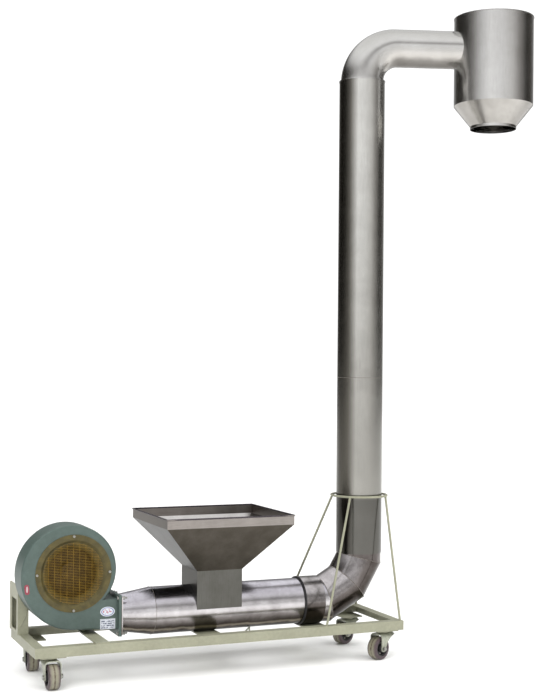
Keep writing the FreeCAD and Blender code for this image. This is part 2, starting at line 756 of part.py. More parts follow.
def motor():
    parts = {"motor_shaft": motor_shaft(), "motor_frame": motor_frame(),
             "motor_end_shields": motor_end_shields(), "motor_bearings": motor_bearings(),
             "motor_fan": motor_fan(), "motor_fan_cover": motor_fan_cover(),
             "terminal_box": terminal_box(), "cable_gland": cable_gland(),
             "motor_foot_bolts": motor_foot_bolts()}
    parts.update(motor_stand())
    return parts


def blower():
    return {"volute_casing": volute_casing(), "volute_back_cover": volute_back_cover(),
            "inlet_ring": inlet_ring(), "inlet_mesh": inlet_mesh(), "guard_screws": guard_screws(),
            "volute_labels": volute_labels(), "impeller": impeller()}


# ---- duct, hopper and elbow ----
def duct_point(x):
    return V(x, mid_y, duct_axis_z)


def outlet_parts():
    start = flange_x + flange_thick
    gasket = square_plate(start, gasket_thick, flange_size - 2 * gasket_margin, bolt_radius + bolt_clearance)
    gasket = gasket.cut(rod(reducer_start_radius - duct_wall, duct_point(start - 1), duct_point(start + 5)))
    plate = square_plate(cone_flange_x, reducer_flange_thick, flange_size - 2 * gasket_margin,
                         bolt_radius + bolt_clearance)
    cone_start = cone_flange_x + reducer_flange_thick
    outer = Part.makeCone(reducer_start_radius, duct_radius, tube_start_x - cone_start,
                          duct_point(cone_start), x_axis)
    inner = Part.makeCone(reducer_start_radius - duct_wall, duct_radius - duct_wall,
                          tube_start_x - cone_start, duct_point(cone_start), x_axis)
    hole = rod(reducer_start_radius - duct_wall, duct_point(cone_flange_x - 1), duct_point(cone_start + 0.5))
    reducer = plate.fuse(outer).cut(inner).cut(hole).removeSplitter()
    bolts = []
    nut_x = cone_start
    for y, z in bolt_places():
        shank = rod(bolt_radius, V(flange_x, y, z), V(nut_x + 20, y, z))
        head = hexagon(13.0, 6.0, V(flange_x, y, z), V(-1, 0, 0))
        nut = hexagon(13.0, 8.0, V(nut_x + 2, y, z), x_axis)
        washer = rod(8.0, V(nut_x, y, z), V(nut_x + 2, y, z))
        bolts.append(shank.fuse(head).fuse(nut).fuse(washer).removeSplitter())
    return {"outlet_gasket": gasket, "reducer_cone": reducer, "outlet_bolts": Part.makeCompound(bolts)}


def feed_tube():
    tube = pipe(duct_radius, duct_radius - duct_wall, duct_point(tube_start_x), duct_point(tube_end_x))
    half_x = neck_length / 2 - hopper_wall
    half_y = duct_radius - neck_inset - hopper_wall
    mouth = block(hopper_x - half_x, hopper_x + half_x, mid_y - half_y, mid_y + half_y,
                  duct_axis_z, duct_axis_z + 2 * duct_radius)
    return tube.cut(mouth)


def injector_nozzle():
    """Cone inside the tube that speeds the air up just before the grain drops in."""
    outer_start = duct_radius - duct_wall - 0.2
    start, run = duct_point(nozzle_start_x), nozzle_length
    cone = Part.makeCone(outer_start, nozzle_mouth, run, start, x_axis)
    return cone.cut(Part.makeCone(outer_start - duct_wall, nozzle_mouth - duct_wall, run, start, x_axis))


def rectangle(half_x, half_y, z):
    corners = [V(hopper_x - half_x, mid_y - half_y, z), V(hopper_x + half_x, mid_y - half_y, z),
               V(hopper_x + half_x, mid_y + half_y, z), V(hopper_x - half_x, mid_y + half_y, z)]
    return Part.makePolygon(corners + [corners[0]])


def taper(half_low, half_high, z_low, z_high):
    return Part.makeLoft([rectangle(*half_low, z_low), rectangle(*half_high, z_high)], True, True)


def hopper():
    band_z = hopper_top_z - hopper_band
    half_x, half_y = hopper_length / 2, hopper_depth / 2
    neck_x, neck_y = neck_length / 2, duct_radius - neck_inset
    rim = block(hopper_x - half_x, hopper_x + half_x, mid_y - half_y, mid_y + half_y, band_z, hopper_top_z)
    wide_x, wide_y = half_x + hopper_bead, half_y + hopper_bead
    bead = block(hopper_x - wide_x, hopper_x + wide_x, mid_y - wide_y, mid_y + wide_y,
                 hopper_top_z - hopper_bead, hopper_top_z)
    rim = rim.fuse(bead).cut(block(hopper_x - half_x + hopper_wall, hopper_x + half_x - hopper_wall,
                                   mid_y - half_y + hopper_wall, mid_y + half_y - hopper_wall,
                                   band_z - 1, hopper_top_z + 1)).removeSplitter()
    outer = taper((neck_x, neck_y), (half_x, half_y), neck_top_z, band_z)
    inner = taper((neck_x - hopper_wall, neck_y - hopper_wall), (half_x - hopper_wall, half_y - hopper_wall),
                  neck_top_z, band_z)
    funnel = outer.cut(inner)
    neck = block(hopper_x - neck_x, hopper_x + neck_x, mid_y - neck_y, mid_y + neck_y, duct_axis_z, neck_top_z)
    neck = neck.cut(block(hopper_x - neck_x + hopper_wall, hopper_x + neck_x - hopper_wall,
                          mid_y - neck_y + hopper_wall, mid_y + neck_y - hopper_wall,
                          duct_axis_z - 1, neck_top_z + 1))
    neck = neck.cut(rod(duct_radius, duct_point(tube_start_x), duct_point(tube_end_x)))
    upper = [solid for solid in neck.Solids if solid.BoundBox.ZMax > neck_top_z - 1]
    return {"hopper_rim": rim, "hopper_funnel": funnel, "hopper_neck": Part.makeCompound(upper)}


def direction(angle):
    return V(math.cos(math.radians(angle)), 0, math.sin(math.radians(angle)))


def gore(start, end, angle, cut_low, cut_high):
    """Pipe from start to end along angle, cut by the mitre planes at both ends (angles or None)."""
    along = direction(angle)
    spare = duct_radius
    low_end = start if cut_low is None else start - along * spare
    high_end = end if cut_high is None else end + along * spare
    piece = pipe(duct_radius, duct_radius - duct_wall, low_end, high_end)
    size = 6 * duct_radius
    for point, cut_angle, keep in ((start, cut_low, 1), (end, cut_high, -1)):
        if cut_angle is None:
            continue
        normal = direction(cut_angle) * (-keep)
        plane = Part.Face(Part.Wire(Part.makeCircle(size, point, normal)))
        piece = piece.cut(plane.extrude(normal * size))
    return piece


def elbow():
    mitre_low = V(elbow_mitre_x, mid_y, duct_axis_z)
    mitre_high = V(riser_x, mid_y, elbow_top_z)
    top = mitre_high + z_axis * elbow_stub
    upper = gore(elbow_mid, mitre_high, 2 * elbow_step, 1.5 * elbow_step, 2.5 * elbow_step)
    stub = gore(mitre_high, top, 90, 2.5 * elbow_step, None)
    return {"elbow_inlet": gore(duct_point(tube_end_x), mitre_low, 0, None, 0.5 * elbow_step),
            "elbow_gore_lower": gore(mitre_low, elbow_mid, elbow_step, 0.5 * elbow_step, 1.5 * elbow_step),
            "elbow_gore_upper": upper.fuse(stub).removeSplitter()}


def joint_parts():
    """Black sealing ring and slip collar over the joint of tube and elbow."""
    collar_inner = duct_radius + collar_gap
    start = duct_point(tube_end_x)
    gasket = pipe(collar_inner + collar_wall + 1.0, duct_radius, start - x_axis * gasket_width, start)
    gasket = rounded(gasket, 1.5, lambda e: e.BoundBox.XMax < start.x - gasket_width + 0.1
                     and e.BoundBox.ZLength > 2 * collar_inner)
    collar = pipe(collar_inner + collar_wall, collar_inner, start, start + x_axis * collar_length)
    for offset in (0.0, collar_length - 6.0):
        seat = start + x_axis * offset
        collar = collar.fuse(pipe(collar_inner, duct_radius, seat, seat + x_axis * 6.0))
    return {"joint_gasket": gasket, "elbow_collar": collar.removeSplitter()}


# ---- riser, ring and stays ----
def riser_point(z):
    return V(riser_x, mid_y, z)


def riser():
    lower = pipe(riser_outer, riser_inner, riser_point(riser_base_z), riser_point(riser_seam_z))
    upper = pipe(riser_outer, riser_inner, riser_point(riser_seam_z), riser_point(riser_top_z))
    collar_low = riser_top_z - spigot_depth + 6
    collar = pipe(riser_inner - 0.1, spigot_radius + shaft_fit, riser_point(collar_low), riser_point(riser_top_z))
    return {"riser_lower": lower, "riser_upper": upper, "swivel_collar": collar}


def stay_feet():
    """Stay foot on the frame for each diagonal, as (angle on the ring, foot)."""
    right_x = frame_length - stay_edge
    back_y = frame_depth - stay_edge
    return {225: V(stay_front_x, stay_edge, frame_top), 315: V(right_x, stay_edge, frame_top),
            135: V(stay_back_x, back_y, frame_top), 45: V(right_x, back_y, frame_top)}


def ring_and_stays():
    ring = Part.makeTorus(ring_radius, rod_radius, riser_point(ring_z), z_axis)
    stays = []
    for angle, foot in stay_feet().items():
        turn = math.radians(angle)
        head = V(riser_x + ring_radius * math.cos(turn), mid_y + ring_radius * math.sin(turn), ring_z)
        stay = rod(rod_radius, foot - (head - foot) * 0.02, head)
        stay = stay.cut(block(-50, frame_length + 50, -50, frame_depth + 50, 0, frame_top)).cut(ring)
        longest = max(stay.Solids, key=lambda solid: solid.Volume)
        stays.append(longest)
    return {"stay_ring": ring, "riser_stays": Part.makeCompound(stays)}


# ---- discharge head ----
def bend_wire(angle, radius):
    """Circle round the bend's centreline at an angle from the riser's top."""
    turn = math.radians(angle)
    centre = V(riser_x + bend_radius * (1 - math.cos(turn)), mid_y, bend_start_z + bend_radius * math.sin(turn))
    normal = V(math.sin(turn), 0, math.cos(turn))
    return Part.Wire(Part.makeCircle(radius, centre, normal))


def bend_body(inset):
    count = 12
    wires = []
    for step in range(count + 1):
        share = step / count
        radius = spigot_radius + (arm_radius - spigot_radius) * share - inset
        wires.append(bend_wire(90.0 * share, radius))
    return Part.makeLoft(wires, True, False)


def discharge_head():
    bend = bend_body(0.0).cut(bend_body(duct_wall))
    spigot = pipe(spigot_radius, spigot_radius - duct_wall, riser_point(riser_top_z - spigot_depth),
                  riser_point(bend_start_z))
    stop = pipe(riser_outer + 2, spigot_radius - duct_wall, riser_point(head_base_z), riser_point(bend_start_z))
    bend = bend.fuse(spigot).fuse(stop).removeSplitter()
    axis_x = riser_x + head_reach
    arm_line = V(riser_x + bend_radius, mid_y, arm_z), V(axis_x, mid_y, arm_z)
    inner_line = V(riser_x + bend_radius - 1, mid_y, arm_z), V(axis_x, mid_y, arm_z)
    barrel = rod(head_radius, V(axis_x, mid_y, head_crease_z), V(axis_x, mid_y, head_top_z))
    arm = rod(arm_radius, *arm_line).cut(rod(arm_radius - duct_wall, *inner_line)).cut(barrel)
    shell = barrel.cut(rod(head_radius - head_wall, V(axis_x, mid_y, head_crease_z),
                           V(axis_x, mid_y, head_top_z)))
    shell = shell.cut(rod(arm_radius - duct_wall, *inner_line))
    roof = rod(head_radius + 2.0, V(axis_x, mid_y, head_top_z), V(axis_x, mid_y, head_top_z + head_wall))
    cone_height = head_crease_z - head_mouth_z
    low = V(axis_x, mid_y, head_mouth_z)
    cone = Part.makeCone(head_mouth_radius, head_radius, cone_height, low, z_axis)
    cone = cone.cut(Part.makeCone(head_mouth_radius - head_wall, head_radius - head_wall, cone_height, low, z_axis))
    lip = pipe(head_mouth_radius, head_mouth_radius - head_wall, low - z_axis * head_lip, low)
    parts = {"top_bend": bend, "head_arm": arm, "discharge_shell": shell, "discharge_roof": roof,
             "discharge_cone": cone.fuse(lip).removeSplitter()}
    return {name: turned(shape, riser_point(0), z_axis, head_turn) for name, shape in parts.items()}


def build_all():
    parts = {}
    for maker in (frame_rails, crossbars, casters, blower, motor, outlet_parts, hopper, elbow, joint_parts,
                  riser, ring_and_stays, discharge_head):
        parts.update(maker())
    parts["feed_tube"] = feed_tube()
    parts["injector_nozzle"] = injector_nozzle()
    return parts


def origin_of(parts):
    """Middle of the whole object's plan, on the floor."""
    box = Part.makeCompound(list(parts.values())).optimalBoundingBox(True, False)
    return V(box.Center.x, box.Center.y, box.ZMin)


def main():
    os.makedirs("parts", exist_ok=True)
    parts = build_all()
    origin = origin_of(parts)
    for name, shape in sorted(parts.items()):
        shape.translate(origin * -1)
        shape.exportStep("parts/" + name + ".step")
        print(name, "solids", len(shape.Solids), "volume", round(shape.Volume / 1000.0, 1), "cm3",
              "" if shape.isValid() else "INVALID")
    print("nodes", len(parts), "origin", [round(value, 3) for value in origin])


if __name__ == "__main__":
    main()
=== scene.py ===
import math

import bpy
from mathutils import Euler, Matrix, Vector


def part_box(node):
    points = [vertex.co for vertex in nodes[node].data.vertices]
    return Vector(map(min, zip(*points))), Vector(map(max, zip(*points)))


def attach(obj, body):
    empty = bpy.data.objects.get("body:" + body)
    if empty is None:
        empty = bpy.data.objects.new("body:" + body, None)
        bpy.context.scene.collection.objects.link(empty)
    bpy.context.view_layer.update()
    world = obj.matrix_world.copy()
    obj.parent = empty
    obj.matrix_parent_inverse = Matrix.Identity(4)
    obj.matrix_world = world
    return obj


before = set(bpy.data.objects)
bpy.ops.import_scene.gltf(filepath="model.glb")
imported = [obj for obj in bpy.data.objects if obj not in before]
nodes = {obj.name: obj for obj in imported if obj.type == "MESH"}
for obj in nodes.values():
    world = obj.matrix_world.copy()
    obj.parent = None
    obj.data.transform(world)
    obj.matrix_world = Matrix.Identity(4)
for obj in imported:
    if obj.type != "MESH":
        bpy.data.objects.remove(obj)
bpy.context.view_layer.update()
mm = 0.001
print("frame loaded:", len(nodes), "nodes")


# places are given in millimetres from the trolley's front left corner, on the floor
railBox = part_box("frame_front_rail")
corner = Vector((railBox[0][0], railBox[0][1], 0.0))


def place(x, y, z):
    return corner + Vector((x, y, z)) * mm


def srgb(code):
    # hex colour as painted on screen, turned into the linear value that Blender mixes
    values = [int(code[i:i + 2], 16) / 255 for i in (1, 3, 5)]
    return [v / 12.92 if v <= 0.04045 else ((v + 0.055) / 1.055) ** 2.4 for v in values] + [1.0]


def add(tree, kind, feed=None, output=0, stops=None, **settings):
    # one node: feed holds an input's number, hex colour or source socket, settings are the node's own options,
    # stops are a ramp's positions and colours, and what comes back is one output socket
    node = tree.nodes.new(kind)
    for name, value in settings.items():
        setattr(node, name, value)
    for name, value in (feed or {}).items():
        if isinstance(value, bpy.types.NodeSocket):
            tree.links.new(value, node.inputs[name])
        else:
            node.inputs[name].default_value = srgb(value) if isinstance(value, str) else value
    if stops:
        ends = node.color_ramp.elements
        for end, (position, code) in ((ends[0], stops[0]), (ends[1], stops[-1])):
            end.position, end.color = position, srgb(code)
        for position, code in stops[1:-1]:
            ends.new(position).color = srgb(code)
    return node.outputs[output]


def newMaterial(name, metallic, roughness):
    material = bpy.data.materials.new(name)
    material.use_nodes = True
    tree = material.node_tree
    shader = tree.nodes["Principled BSDF"]
    shader.inputs["Metallic"].default_value = metallic
    shader.inputs["Roughness"].default_value = roughness
    return material, tree, shader


def objectPoint(tree, scale=(1, 1, 1)):
    # object coordinates in millimetres, stretched for a pattern
    coords = add(tree, "ShaderNodeTexCoord", output="Object")
    return add(tree, "ShaderNodeMapping", {"Vector": coords, "Scale": [s / mm for s in scale]})


def localPoint(tree, centre, turn=0.0):
    # millimetres from a centre, turned about the vertical by some degrees
    coords = add(tree, "ShaderNodeTexCoord", output="Object")
    moved = add(tree, "ShaderNodeVectorMath", {0: coords, 1: centre}, operation="SUBTRACT")
    scaled = add(tree, "ShaderNodeVectorMath", {0: moved, "Scale": 1 / mm}, operation="SCALE")
    return add(tree, "ShaderNodeVectorRotate", {"Vector": scaled, "Angle": -math.radians(turn)},
               rotation_type="Z_AXIS")


def ovalReach(tree, point, halfWidth=1.0, halfHeight=1.0):
    # distance from the centre seen along Y, where an oval of these half sizes counts as 1
    shrunk = add(tree, "ShaderNodeVectorMath", {0: point, 1: (1 / halfWidth, 0, 1 / halfHeight)},
                 operation="MULTIPLY")
    return add(tree, "ShaderNodeVectorMath", {0: shrunk}, "Value", operation="LENGTH")


def facing(tree, axis):
    # how far the surface faces along a world axis, from 0 for straight away to 1 for straight along it
    normal = add(tree, "ShaderNodeNewGeometry", output="Normal")
    part = add(tree, "ShaderNodeSeparateXYZ", {"Vector": normal}, axis)
    return add(tree, "ShaderNodeMath", {0: part, 1: 0.5, 2: 0.5}, operation="MULTIPLY_ADD")


def dress(tree, shader, colour, rough=None, height=None, depth=0.0, strength=0.4):
    # what a pattern feeds into the surface: its colour, its roughness, and a height in millimetres
    tree.links.new(colour, shader.inputs["Base Color"])
    if rough:
        tree.links.new(rough, shader.inputs["Roughness"])
    if height:
        bump = add(tree, "ShaderNodeBump", {"Height": height, "Distance": depth * mm, "Strength": strength})
        tree.links.new(bump, shader.inputs["Normal"])


# widths and depths in millimetres; fineShare is how much of the lines mixes into the clouds, edgeWobble how
# unevenly the painted dark reflection edge runs along a duct, and heightSpan what the painted height shade is
# spread over
sheetValues = {"lineWidth": 2.5, "lineDepth": 0.03, "lineStrength": 0.3, "fineShare": 0.4, "edgeWobble": 0.12,
               "heightSpan": 3000.0, "smoother": 0.06, "rougher": 0.08}


def stainless(name, tones, grain, roughness, cloud=90.0, turned=None, height=None, side=None):
    # cold rolled stainless sheet: long rolling grain, faint cloudy patches, and painted shade and painted
    # reflection for what it mirrors:
    # turned goes by how far it faces up, side by how far it faces +X, height by how high it stands
    values = sheetValues
    material, tree, shader = newMaterial(name, 1.0, roughness)
    point = objectPoint(tree)
    clouds = add(tree, "ShaderNodeTexNoise", {"Vector": point, "Scale": 1 / cloud, "Detail": 4.0,
                                              "Roughness": 0.6}, "Fac")
    lines = add(tree, "ShaderNodeTexNoise", {"Vector": objectPoint(tree, grain), "Detail": 2.0,
                                             "Roughness": 0.7, "Scale": 1 / values["lineWidth"]}, "Fac")
    mixed = add(tree, "ShaderNodeMix", {"Factor": values["fineShare"], "A": clouds, "B": lines}, "Result",
                data_type="FLOAT")
    colour = add(tree, "ShaderNodeValToRGB", {"Fac": mixed}, stops=[(0.32, tones[0]), (0.68, tones[1])])
    shades = []
    if turned:
        wobble = values["edgeWobble"]
        wobble = add(tree, "ShaderNodeMath", {0: clouds, 1: wobble, 2: -wobble / 2}, operation="MULTIPLY_ADD")
        up = add(tree, "ShaderNodeMath", {0: facing(tree, "Z"), 1: wobble}, operation="ADD")
        shades.append((up, turned))
    if side:
        shades.append((facing(tree, "X"), side))
    if height:
        level = add(tree, "ShaderNodeSeparateXYZ", {"Vector": point}, "Z")
        share = add(tree, "ShaderNodeMath", {0: level, 1: values["heightSpan"]}, operation="DIVIDE")
        shades.append((share, height))
    # each painted shade and painted reflection ramp multiplies the sheet's colour
    for source, stops in shades:
        shade = add(tree, "ShaderNodeValToRGB", {"Fac": source}, stops=stops)
        colour = add(tree, "ShaderNodeMix", {0: 1.0, 6: colour, 7: shade}, 2, data_type="RGBA",
                     blend_type="MULTIPLY")
    rough = add(tree, "ShaderNodeMapRange", {"Value": mixed, "To Min": roughness - values["smoother"],
                                             "To Max": roughness + values["rougher"]})
    dress(tree, shader, colour, rough, lines, values["lineDepth"], values["lineStrength"])
    return material


# widths and depth in millimetres; speckShare is how much of the specks mixes into the drift
paintValues = {"driftWidth": 120.0, "speckWidth": 14.0, "speckShare": 0.4, "peelWidth": 2.5, "peelDepth": 0.03}


def paint(name, tones, roughness):
    # sprayed enamel on steel: slow colour drift, fine specks and slight orange peel
    values = paintValues
    material, tree, shader = newMaterial(name, 0.0, roughness)
    point = objectPoint(tree)
    drift = add(tree, "ShaderNodeTexNoise", {"Vector": point, "Scale": 1 / values["driftWidth"], "Detail": 4.0,
                                             "Roughness": 0.6}, "Fac")
    specks = add(tree, "ShaderNodeTexNoise", {"Vector": point, "Scale": 1 / values["speckWidth"],
                                              "Detail": 3.0}, "Fac")
    mixed = add(tree, "ShaderNodeMix", {"Factor": values["speckShare"], "A": drift, "B": specks}, "Result",
                data_type="FLOAT")
    colour = add(tree, "ShaderNodeValToRGB", {"Fac": mixed}, stops=[(0.35, tones[0]), (0.65, tones[1])])
    peel = add(tree, "ShaderNodeTexNoise", {"Vector": point, "Scale": 1 / values["peelWidth"],
                                            "Detail": 2.0}, "Fac")
    dress(tree, shader, colour, None, peel, values["peelDepth"])
    return material


def plain(name, tones, metallic, roughness, size=8.0, depth=0.03, spread=0.06):
    # small parts: a cast, plated or moulded surface with a little mottle, which also spreads its roughness
    material, tree, shader = newMaterial(name, metallic, roughness)
    mottle = add(tree, "ShaderNodeTexNoise", {"Vector": objectPoint(tree), "Scale": 1 / size, "Detail": 3.0,
                                              "Roughness": 0.6}, "Fac")
    colour = add(tree, "ShaderNodeValToRGB", {"Fac": mottle}, stops=[(0.35, tones[0]), (0.65, tones[1])])
    rough = add(tree, "ShaderNodeMapRange", {"Value": mottle, "To Min": roughness - spread,
                                             "To Max": roughness + spread})
    dress(tree, shader, colour, rough, mottle, depth)
    return material


# sizes in millimetres; turns are which way the four wheels' axles point, in degrees
wheelValues = {
    "turns": {"front_left": 270, "front_right": 202, "back_left": 265, "back_right": 200},
    "rimRadius": 35.0, "hubRadius": 15.0, "rivetRing": 24.5, "rivetHalf": 3.2, "rivets": 10, "rivetGap": 0.35,
    "halfWidth": 24.0, "grimeWidth": 12.0, "grimeReach": 10.0, "grimeDepth": 0.2, "centre": "#2c2a2b",
    "rivet": "#a7a49a", "hub": "#7d7b74",
    "tread": [(0.0, "#4a3b30"), (0.08, "#6a6454"), (0.22, "#85826f"), (0.6, "#736d61"), (0.85, "#4a3e3f"),
              (1.0, "#46393d")],
}


def castWheel(name, node, turn):
    # cream polyurethane tread with a worn brown middle, on a dark pressed centre with pale rivets
    values = wheelValues
    material, tree, shader = newMaterial(name, 0.0, 0.45)
    low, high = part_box(node)
    point = localPoint(tree, (low + high) / 2, turn)
    x, y, z = add(tree, "ShaderNodeSeparateXYZ", {"Vector": point}).node.outputs
    radius = ovalReach(tree, point)
    grime = add(tree, "ShaderNodeTexNoise", {"Vector": objectPoint(tree), "Scale": 1 / values["grimeWidth"],
                                             "Detail": 4.0, "Roughness": 0.6}, "Fac")
    reach = values["grimeReach"]
    uneven = add(tree, "ShaderNodeMath", {0: grime, 1: reach, 2: -reach / 2}, operation="MULTIPLY_ADD")
    across = add(tree, "ShaderNodeMath", {0: y}, operation="ABSOLUTE")
    across = add(tree, "ShaderNodeMath", {0: across, 1: uneven}, operation="ADD")
    across = add(tree, "ShaderNodeMath", {0: across, 1: values["halfWidth"]}, operation="DIVIDE")
    tread = add(tree, "ShaderNodeValToRGB", {"Fac": across}, stops=values["tread"])
    angle = add(tree, "ShaderNodeMath", {0: x, 1: z}, operation="ARCTAN2")
    angle = add(tree, "ShaderNodeMath", {0: angle, 1: values["rivets"]}, operation="MULTIPLY")
    wave = add(tree, "ShaderNodeMath", {0: angle}, operation="SINE")
    dots = add(tree, "ShaderNodeMath", {0: wave, 1: values["rivetGap"]}, operation="GREATER_THAN")
    ring = add(tree, "ShaderNodeMath", {0: radius, 1: values["rivetRing"], 2: values["rivetHalf"]},
               operation="COMPARE")
    rivets = add(tree, "ShaderNodeMath", {0: dots, 1: ring}, operation="MULTIPLY")
    hub = add(tree, "ShaderNodeMath", {0: radius, 1: values["hubRadius"]}, operation="LESS_THAN")
    rim = add(tree, "ShaderNodeMath", {0: radius, 1: values["rimRadius"]}, operation="GREATER_THAN")
    colour = values["centre"]
    for mask, top in ((rivets, values["rivet"]), (hub, values["hub"]), (rim, tread)):
        colour = add(tree, "ShaderNodeMix", {0: mask, 6: colour, 7: top}, 2, data_type="RGBA")
    dress(tree, shader, colour, None, grime, values["grimeDepth"])
    return material


labelValues = {
    "pill": {"at": (2, 0, 377), "half": (4.0, 13.0), "ground": "#80303e", "print": "#a99394", "endsAt": 60.0},
    "oval": {"at": (338, 0, 267), "half": (31.0, 20.0), "ground": "#c3c9d0", "outline": "#6c6f9a",
             "outlineAt": 0.8, "outlineHalf": 0.07, "print": "#a14a5c", "printWithin": 0.62,
             "printSize": 9.0, "printStretch": (1, 1, 1.6), "printShare": 0.53},
    "plate": {"at": (339, 0, 216), "half": (28.0, 18.0), "ground": "#b9bdc4", "print": "#474b5e",
              "rowPitch": 0.72, "rowShare": -0.2, "printSize": 6.0, "printShare": 0.44, "endsAt": 26.0},
}


def labelPrint(name):
    # thin printed film: a red pill, a pale oval with an outline, a pale plate with dark rows, and no lettering
    material, tree, shader = newMaterial(name, 0.0, 0.35)
    pill, oval, plate = labelValues["pill"], labelValues["oval"], labelValues["plate"]
    pillPoint, ovalPoint, platePoint = [localPoint(tree, place(*part["at"])) for part in (pill, oval, plate)]

    pillReach = ovalReach(tree, pillPoint, *pill["half"])
    arrow = add(tree, "ShaderNodeMath", {0: pillReach, 1: 1.0}, operation="LESS_THAN")
    pillColour = add(tree, "ShaderNodeMix", {0: arrow, 6: pill["ground"], 7: pill["print"]}, 2,
                     data_type="RGBA")

    reach = ovalReach(tree, ovalPoint, *oval["half"])
    outline = add(tree, "ShaderNodeMath", {0: reach, 1: oval["outlineAt"], 2: oval["outlineHalf"]},
                  operation="COMPARE")
    blots = add(tree, "ShaderNodeTexNoise", {"Vector": objectPoint(tree, oval["printStretch"]),
                                             "Scale": 1 / oval["printSize"], "Detail": 1.0}, "Fac")
    blots = add(tree, "ShaderNodeMath", {0: blots, 1: oval["printShare"]}, operation="GREATER_THAN")
    within = add(tree, "ShaderNodeMath", {0: reach, 1: oval["printWithin"]}, operation="LESS_THAN")
    blots = add(tree, "ShaderNodeMath", {0: blots, 1: within}, operation="MULTIPLY")
    ovalColour = oval["ground"]
    for mask, code in ((outline, oval["outline"]), (blots, oval["print"])):
        ovalColour = add(tree, "ShaderNodeMix", {0: mask, 6: ovalColour, 7: code}, 2, data_type="RGBA")

    x, _, z = add(tree, "ShaderNodeSeparateXYZ", {"Vector": platePoint}).node.outputs
    rows = add(tree, "ShaderNodeMath", {0: z, 1: plate["rowPitch"]}, operation="MULTIPLY")
    rows = add(tree, "ShaderNodeMath", {0: rows}, operation="SINE")
    dark = add(tree, "ShaderNodeMath", {0: rows, 1: plate["rowShare"]}, operation="GREATER_THAN")
    broken = add(tree, "ShaderNodeTexNoise", {"Vector": objectPoint(tree), "Scale": 1 / plate["printSize"],
                                              "Detail": 1.0}, "Fac")
    broken = add(tree, "ShaderNodeMath", {0: broken, 1: plate["printShare"]}, operation="GREATER_THAN")
    masks = [broken] + [add(tree, "ShaderNodeMath", {0: part, 1: 0.0, 2: half}, operation="COMPARE")
                        for part, half in zip((x, z), plate["half"])]
    for mask in masks:
        dark = add(tree, "ShaderNodeMath", {0: dark, 1: mask}, operation="MULTIPLY")
    colour = add(tree, "ShaderNodeMix", {0: dark, 6: plate["ground"], 7: plate["print"]}, 2, data_type="RGBA")

    # the three labels stand apart, so one plane splits the plate from the oval and one splits off the pill
    above = add(tree, "ShaderNodeMath", {0: z, 1: plate["endsAt"]}, operation="GREATER_THAN")
    aside = add(tree, "ShaderNodeSeparateXYZ", {"Vector": pillPoint}, "X")
    aside = add(tree, "ShaderNodeMath", {0: aside, 1: pill["endsAt"]}, operation="LESS_THAN")
    for mask, top in ((above, ovalColour), (aside, pillColour)):
        colour = add(tree, "ShaderNodeMix", {0: mask, 6: colour, 7: top}, 2, data_type="RGBA")
    dress(tree, shader, colour)
    return material


# painted shade and painted reflection, with a painted highlight band on the ducts, that multiply a steel's
# colour by how far it faces up or sideways, or by its height, from 0 to 1; the riser's painted shade is darker
# towards the bottom
paintedSideShade = [(0.0, "#a09d97"), (0.08, "#85827c"), (0.15, "#504e49"), (0.3, "#5a5852"), (0.42, "#ffffff"),
              (1.0, "#ffffff")]
riserPaintedSideShade = [(0.0, "#8f8c87"), (0.08, "#aeaba6"), (0.2, "#ffffff"), (1.0, "#ffffff")]
riserPaintedHeightShade = [(0.0, "#747370"), (0.233, "#7a7976"), (0.238, "#bebdb9"), (0.4, "#c9c8c5"), (0.6, "#e3e3e1"),
               (1.0, "#ffffff")]
ductPaintedReflection = [(0.0, "#3a332b"), (0.09, "#453d34"), (0.14, "#c9bfa8"), (0.18, "#5a5249"), (0.33, "#a7a29e"),
              (0.47, "#f4f2f0"), (0.62, "#ffffff"), (0.8, "#dddce1"), (1.0, "#f0f0f6")]
elbowPaintedReflection = [(0.0, "#3c352e"), (0.15, "#4a423a"), (0.35, "#6b645d"), (0.5, "#96918d"), (0.66, "#ffffff"),
               (1.0, "#ffffff")]
headPaintedReflection = [(0.0, "#85817c"), (0.12, "#a9a6a2"), (0.22, "#e6e3df"), (0.5, "#ffffff"), (0.8, "#e4e4e2"),
              (1.0, "#b4b4b2")]
hopperPaintedReflection = [(0.0, "#5c5750"), (0.2, "#69645c"), (0.5, "#a8a39c"), (0.65, "#ffffff"), (1.0, "#ffffff")]

# bare stainless sheet with painted reflection: colour painted bright where it mirrors a lamp, brown to black
# where it mirrors the floor and the gaps
ductSteel = stainless("rolledStainlessDuct", ("#aaa7aa", "#dad8db"), (1, 0.04, 1), 0.22, 70.0, ductPaintedReflection)
riserSteel = stainless("satinStainlessRiser", ("#c2c1be", "#d8d7d4"), (1, 1, 0.03), 0.23, 110.0,
                       height=riserPaintedHeightShade, side=riserPaintedSideShade)
elbowSteel = stainless("weldedStainlessElbow", ("#8a8687", "#bcb8b9"), (1, 1, 0.04), 0.2, 60.0, elbowPaintedReflection)
headSteel = stainless("brushedStainlessHead", ("#bdbcba", "#cecdcc"), (1, 1, 0.03), 0.22, 110.0, headPaintedReflection)
hopperSteel = stainless("brushedStainlessHopper", ("#b5b2b0", "#d0cecd"), (1, 1, 0.05), 0.36, 90.0,
                        hopperPaintedReflection, side=paintedSideShade)
# the neck and the folded band take darker tones than the hopper's sheet, as painted shade
neckSteel = stainless("brushedStainlessNeck", ("#575651", "#686763"), (1, 1, 0.05), 0.38, side=paintedSideShade)
rimSteel = stainless("foldedStainlessBand", ("#88827e", "#a39d98"), (0.05, 1, 1), 0.36, side=paintedSideShade)
# one coat of air dried enamel, even and dull
creamEnamel = paint("creamEnamel", ("#82826f", "#91917d"), 0.45)
greenEnamel = paint("greenHammerEnamel", ("#3f4d48", "#495853"), 0.45)
motorEnamel = paint("motorEnamel", ("#506262", "#5a6d6d"), 0.4)
